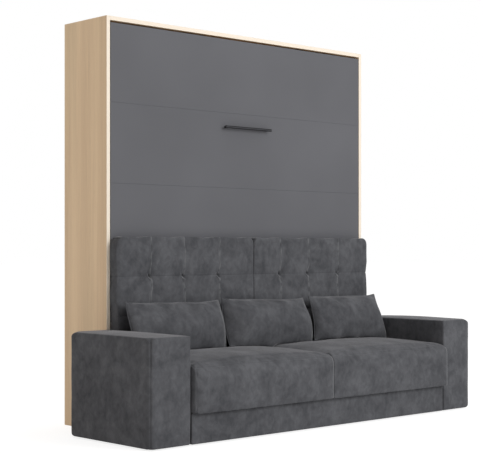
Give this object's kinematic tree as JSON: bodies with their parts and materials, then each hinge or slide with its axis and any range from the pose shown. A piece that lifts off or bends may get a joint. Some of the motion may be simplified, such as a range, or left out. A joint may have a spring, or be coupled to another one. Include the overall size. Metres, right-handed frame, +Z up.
{
  "type": "wall bed with sofa",
  "caption": "Upright fold-down wall bed in a shallow cabinet, with a boxy sofa, tufted back cushions and lumbar pillows in front of it.",
  "frame": {"origin": "on the floor, in the middle of the whole outline in width and depth", "axes": "+X to the right of someone who faces the front, +Y to the wall, +Z up"},
  "size_m": [2.453, 1.077, 2.175],
  "materials": {
    "cabinet_wood": "light oak veneer with a straight upright grain, satin, pale edge band",
    "front_laminate": "slate grey laminated board, matt",
    "velvet": "charcoal grey velvet with a soft, cloudy nap",
    "black_metal": "black powder coat, satin",
    "zinc_steel": "zinc plated",
    "black_plastic": "moulded, matt",
    "beech": "bare beech, sanded",
    "plywood": "bare birch plywood",
    "ticking": "knitted mattress cover, off-white",
    "webbing": "woven polyester webbing"
  },
  "bodies": {
    "root": {"arm_left": "velvet", "arm_right": "velvet", "back_rail_bottom": "cabinet_wood", "back_rail_top": "cabinet_wood", "base_back": "plywood", "base_divider": "plywood", "base_front": "velvet", "base_side_left": "plywood", "base_side_right": "plywood", "cabinet_side_left": "cabinet_wood", "cabinet_side_right": "cabinet_wood", "cabinet_top": "cabinet_wood", "kick_board": "cabinet_wood", "pillow_left": "velvet", "pillow_middle": "velvet", "pillow_right": "velvet", "pivot_bracket_left": "zinc_steel", "pivot_bracket_right": "zinc_steel", "seat_cushion_left": "velvet", "seat_cushion_right": "velvet", "seat_deck": "plywood", "spring_bracket_left": "zinc_steel", "spring_bracket_right": "zinc_steel", "stop_block_left": "black_plastic", "stop_block_right": "black_plastic"},
    "bed": {"back_cushion_left": "velvet", "back_cushion_right": "velvet", "backrest_panel_left": "plywood", "backrest_panel_right": "plywood", "bed_pivot_plate_left": "zinc_steel", "bed_pivot_plate_right": "zinc_steel", "centre_beam": "beech", "foot_rail": "cabinet_wood", "front_board_1": "front_laminate", "front_board_2": "front_laminate", "front_board_3": "front_laminate", "front_board_4": "front_laminate", "front_board_5": "front_laminate", "handle_bar": "black_metal", "handle_post_left": "black_metal", "handle_post_right": "black_metal", "head_rail": "cabinet_wood", "leg_bolt_left": "zinc_steel", "leg_bolt_right": "zinc_steel", "mattress": "ticking", "mattress_strap_lower": "webbing", "mattress_strap_upper": "webbing", "side_rail_left": "cabinet_wood", "side_rail_right": "cabinet_wood", "slat_ledger_left": "beech", "slat_ledger_right": "beech", "slat_panel": "beech"},
    "leg_left": {"leg_left": "zinc_steel", "leg_shoe_left": "black_plastic"},
    "gas_spring_tube_left": {"gas_spring_tube_left": "black_metal"},
    "gas_spring_rod_left": {"gas_spring_rod_left": "zinc_steel"},
    "leg_right": {"leg_right": "zinc_steel", "leg_shoe_right": "black_plastic"},
    "gas_spring_tube_right": {"gas_spring_tube_right": "black_metal"},
    "gas_spring_rod_right": {"gas_spring_rod_right": "zinc_steel"}
  },
  "joints": [
    {"name": "bed_fold", "type": "hinge", "parent": "root", "child": "bed", "pos_m": [0, 0.1685, 0.542], "axis": [1, 0, 0], "range_deg": [0, 90], "deforming": ["pillow_left", "pillow_middle", "pillow_right"]},
    {"name": "leg_left_swing", "type": "hinge", "parent": "bed", "child": "leg_left", "pos_m": [-0.861, 0.2065, 2.142], "axis": [0, 0, -1], "range_deg": [0, 90]},
    {"name": "leg_right_swing", "type": "hinge", "parent": "bed", "child": "leg_right", "pos_m": [0.861, 0.2065, 2.142], "axis": [0, 0, 1], "range_deg": [0, 90]},
    {"name": "gas_spring_left_turn", "type": "hinge", "parent": "root", "child": "gas_spring_tube_left", "pos_m": [-0.9383, 0.2465, 0.992], "axis": [1, 0, 0], "range_deg": [0, 5.96]},
    {"name": "gas_spring_left_stroke", "type": "slide", "parent": "gas_spring_tube_left", "child": "gas_spring_rod_left", "axis": [0, -0.088, -0.9961], "range_m": [-0.1176, 0]},
    {"name": "gas_spring_right_turn", "type": "hinge", "parent": "root", "child": "gas_spring_tube_right", "pos_m": [0.9383, 0.2465, 0.992], "axis": [1, 0, 0], "range_deg": [0, 5.96]},
    {"name": "gas_spring_right_stroke", "type": "slide", "parent": "gas_spring_tube_right", "child": "gas_spring_rod_right", "axis": [0, -0.088, -0.9961], "range_m": [-0.1176, 0]}
  ],
  "couplings": [
    {"joint": "gas_spring_left_turn", "follows": "bed_fold", "ratio": 0.066066},
    {"joint": "gas_spring_left_stroke", "follows": "bed_fold", "m_per_rad": -0.074729},
    {"joint": "gas_spring_right_turn", "follows": "bed_fold", "ratio": 0.066066},
    {"joint": "gas_spring_right_stroke", "follows": "bed_fold", "m_per_rad": -0.074729}
  ]
}
